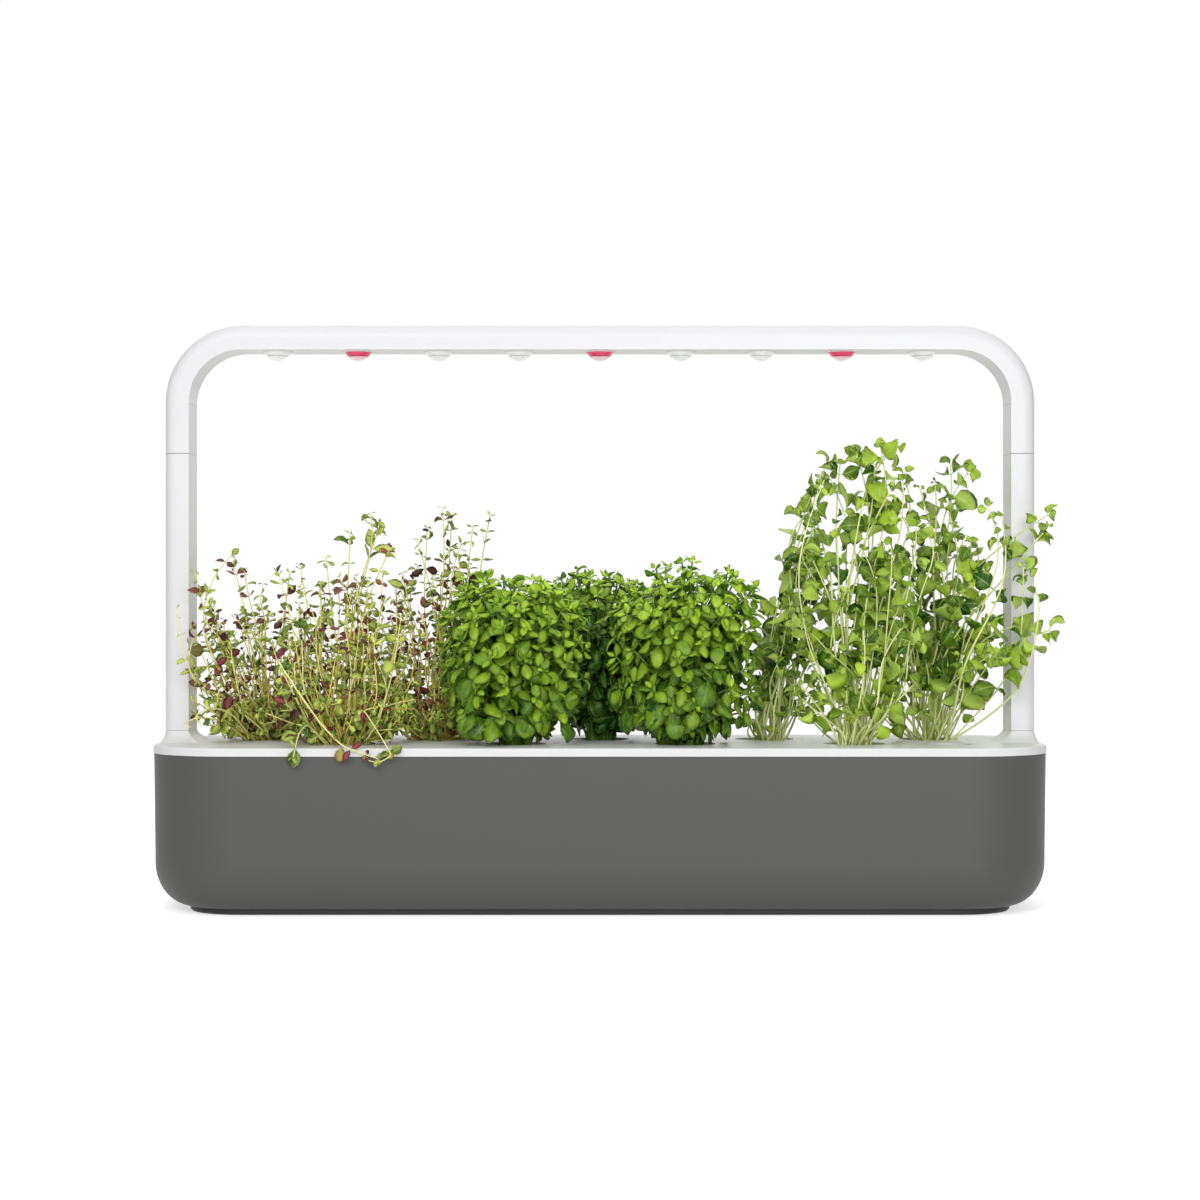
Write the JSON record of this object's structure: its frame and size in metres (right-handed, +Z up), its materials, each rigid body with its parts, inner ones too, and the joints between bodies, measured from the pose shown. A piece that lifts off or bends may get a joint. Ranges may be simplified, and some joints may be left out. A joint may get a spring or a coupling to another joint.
{
  "type": "countertop hydroponic garden",
  "caption": "Self-watering countertop herb garden: water tank, planting lid with lift-out pots, water-level float and a removable grow-lamp arch on two arms.",
  "frame": {"origin": "on the table, centred under the tank", "axes": "+Z up, +X to the right along the tank and the lamp, -Y towards the front"},
  "size_m": [0.608, 0.185, 0.4],
  "materials": {
    "tank_grey": "fine matt moulded grey",
    "plinth_black": "matt black",
    "foot_rubber": "matt rubber",
    "lid_white": "satin white moulding",
    "well_grey": "satin",
    "float_white": "satin",
    "inlet_black": "satin black",
    "contact_brass": "bright",
    "lead_white": "insulation",
    "arm_white": "satin white moulding",
    "arm_cover_white": "satin white moulding",
    "spigot_white": "moulded",
    "lamp_white": "satin white moulding",
    "lamp_cover_white": "satin white moulding",
    "led_board_white": "white solder mask on aluminium",
    "led_yellow": "phosphor",
    "screw_steel": "zinc",
    "lens_clear": "clear to milky moulding",
    "lens_red": "clear red moulding",
    "board_green": "circuit board",
    "pot_white": "thin white moulding",
    "soil_brown": "damp soil plug and felt wick",
    "foliage_thyme": "thyme stems and leaves",
    "foliage_basil": "basil leaves",
    "foliage_oregano": "oregano stems and leaves"
  },
  "bodies": {
    "tank": {"water_tank": "tank_grey", "base_plinth": "plinth_black", "rubber_feet": "foot_rubber"},
    "lid": {"planter_lid": "lid_white", "float_well": "well_grey", "dc_inlet": "inlet_black", "socket_contacts": "contact_brass", "inlet_lead": "lead_white"},
    "left_arm": {"left_arm_shell": "arm_white", "left_arm_cover": "arm_cover_white", "left_arm_spigot": "spigot_white"},
    "right_arm": {"right_arm_shell": "arm_white", "right_arm_cover": "arm_cover_white", "right_arm_spigot": "spigot_white", "arm_contact_rods": "contact_brass"},
    "lamp": {"lamp_shell": "lamp_white", "lamp_left_cover": "lamp_cover_white", "lamp_middle_cover": "lamp_cover_white", "lamp_right_cover": "lamp_cover_white", "left_lamp_spigot": "spigot_white", "right_lamp_spigot": "spigot_white", "lamp_contact_rods": "contact_brass", "led_board": "led_board_white", "led_chips": "led_yellow", "board_screws": "screw_steel", "clear_lenses": "lens_clear", "red_lenses": "lens_red", "timer_board": "board_green", "lamp_lead": "lead_white"},
    "float_puck": {"float": "float_white"},
    "thyme_1_pot": {"pot_1": "pot_white", "growing_pod_1": "soil_brown", "thyme_1": "foliage_thyme"},
    "thyme_2_pot": {"pot_2": "pot_white", "growing_pod_2": "soil_brown", "thyme_2": "foliage_thyme"},
    "thyme_3_pot": {"pot_3": "pot_white", "growing_pod_3": "soil_brown", "thyme_3": "foliage_thyme"},
    "basil_1_pot": {"pot_4": "pot_white", "growing_pod_4": "soil_brown", "basil_1": "foliage_basil"},
    "basil_2_pot": {"pot_5": "pot_white", "growing_pod_5": "soil_brown", "basil_2": "foliage_basil"},
    "basil_3_pot": {"pot_6": "pot_white", "growing_pod_6": "soil_brown", "basil_3": "foliage_basil"},
    "oregano_1_pot": {"pot_7": "pot_white", "growing_pod_7": "soil_brown", "oregano_1": "foliage_oregano"},
    "oregano_2_pot": {"pot_8": "pot_white", "growing_pod_8": "soil_brown", "oregano_2": "foliage_oregano"},
    "oregano_3_pot": {"pot_9": "pot_white", "growing_pod_9": "soil_brown", "oregano_3": "foliage_oregano"}
  },
  "joints": [
    {"name": "lid_lift", "type": "slide", "parent": "tank", "child": "lid", "axis": [0, 0, 1], "range_m": [0, 0.12]},
    {"name": "left_arm_lift", "type": "slide", "parent": "lid", "child": "left_arm", "axis": [0, 0, 1], "range_m": [0, 0.04]},
    {"name": "right_arm_lift", "type": "slide", "parent": "lid", "child": "right_arm", "axis": [0, 0, 1], "range_m": [0, 0.04]},
    {"name": "lamp_lift", "type": "slide", "parent": "left_arm", "child": "lamp", "axis": [0, 0, 1], "range_m": [0, 0.04]},
    {"name": "float_rise", "type": "slide", "parent": "lid", "child": "float_puck", "axis": [0, 0, 1], "range_m": [0, 0.06]},
    {"name": "thyme_1_lift", "type": "slide", "parent": "lid", "child": "thyme_1_pot", "axis": [0, 0, 1], "range_m": [0, 0.1]},
    {"name": "thyme_2_lift", "type": "slide", "parent": "lid", "child": "thyme_2_pot", "axis": [0, 0, 1], "range_m": [0, 0.1]},
    {"name": "thyme_3_lift", "type": "slide", "parent": "lid", "child": "thyme_3_pot", "axis": [0, 0, 1], "range_m": [0, 0.1]},
    {"name": "basil_1_lift", "type": "slide", "parent": "lid", "child": "basil_1_pot", "axis": [0, 0, 1], "range_m": [0, 0.1]},
    {"name": "basil_2_lift", "type": "slide", "parent": "lid", "child": "basil_2_pot", "axis": [0, 0, 1], "range_m": [0, 0.1]},
    {"name": "basil_3_lift", "type": "slide", "parent": "lid", "child": "basil_3_pot", "axis": [0, 0, 1], "range_m": [0, 0.1]},
    {"name": "oregano_1_lift", "type": "slide", "parent": "lid", "child": "oregano_1_pot", "axis": [0, 0, 1], "range_m": [0, 0.1]},
    {"name": "oregano_2_lift", "type": "slide", "parent": "lid", "child": "oregano_2_pot", "axis": [0, 0, 1], "range_m": [0, 0.1]},
    {"name": "oregano_3_lift", "type": "slide", "parent": "lid", "child": "oregano_3_pot", "axis": [0, 0, 1], "range_m": [0, 0.1]}
  ],
  "couplings": [
    {"joint": "right_arm_lift", "follows": "left_arm_lift", "ratio": 1}
  ]
}
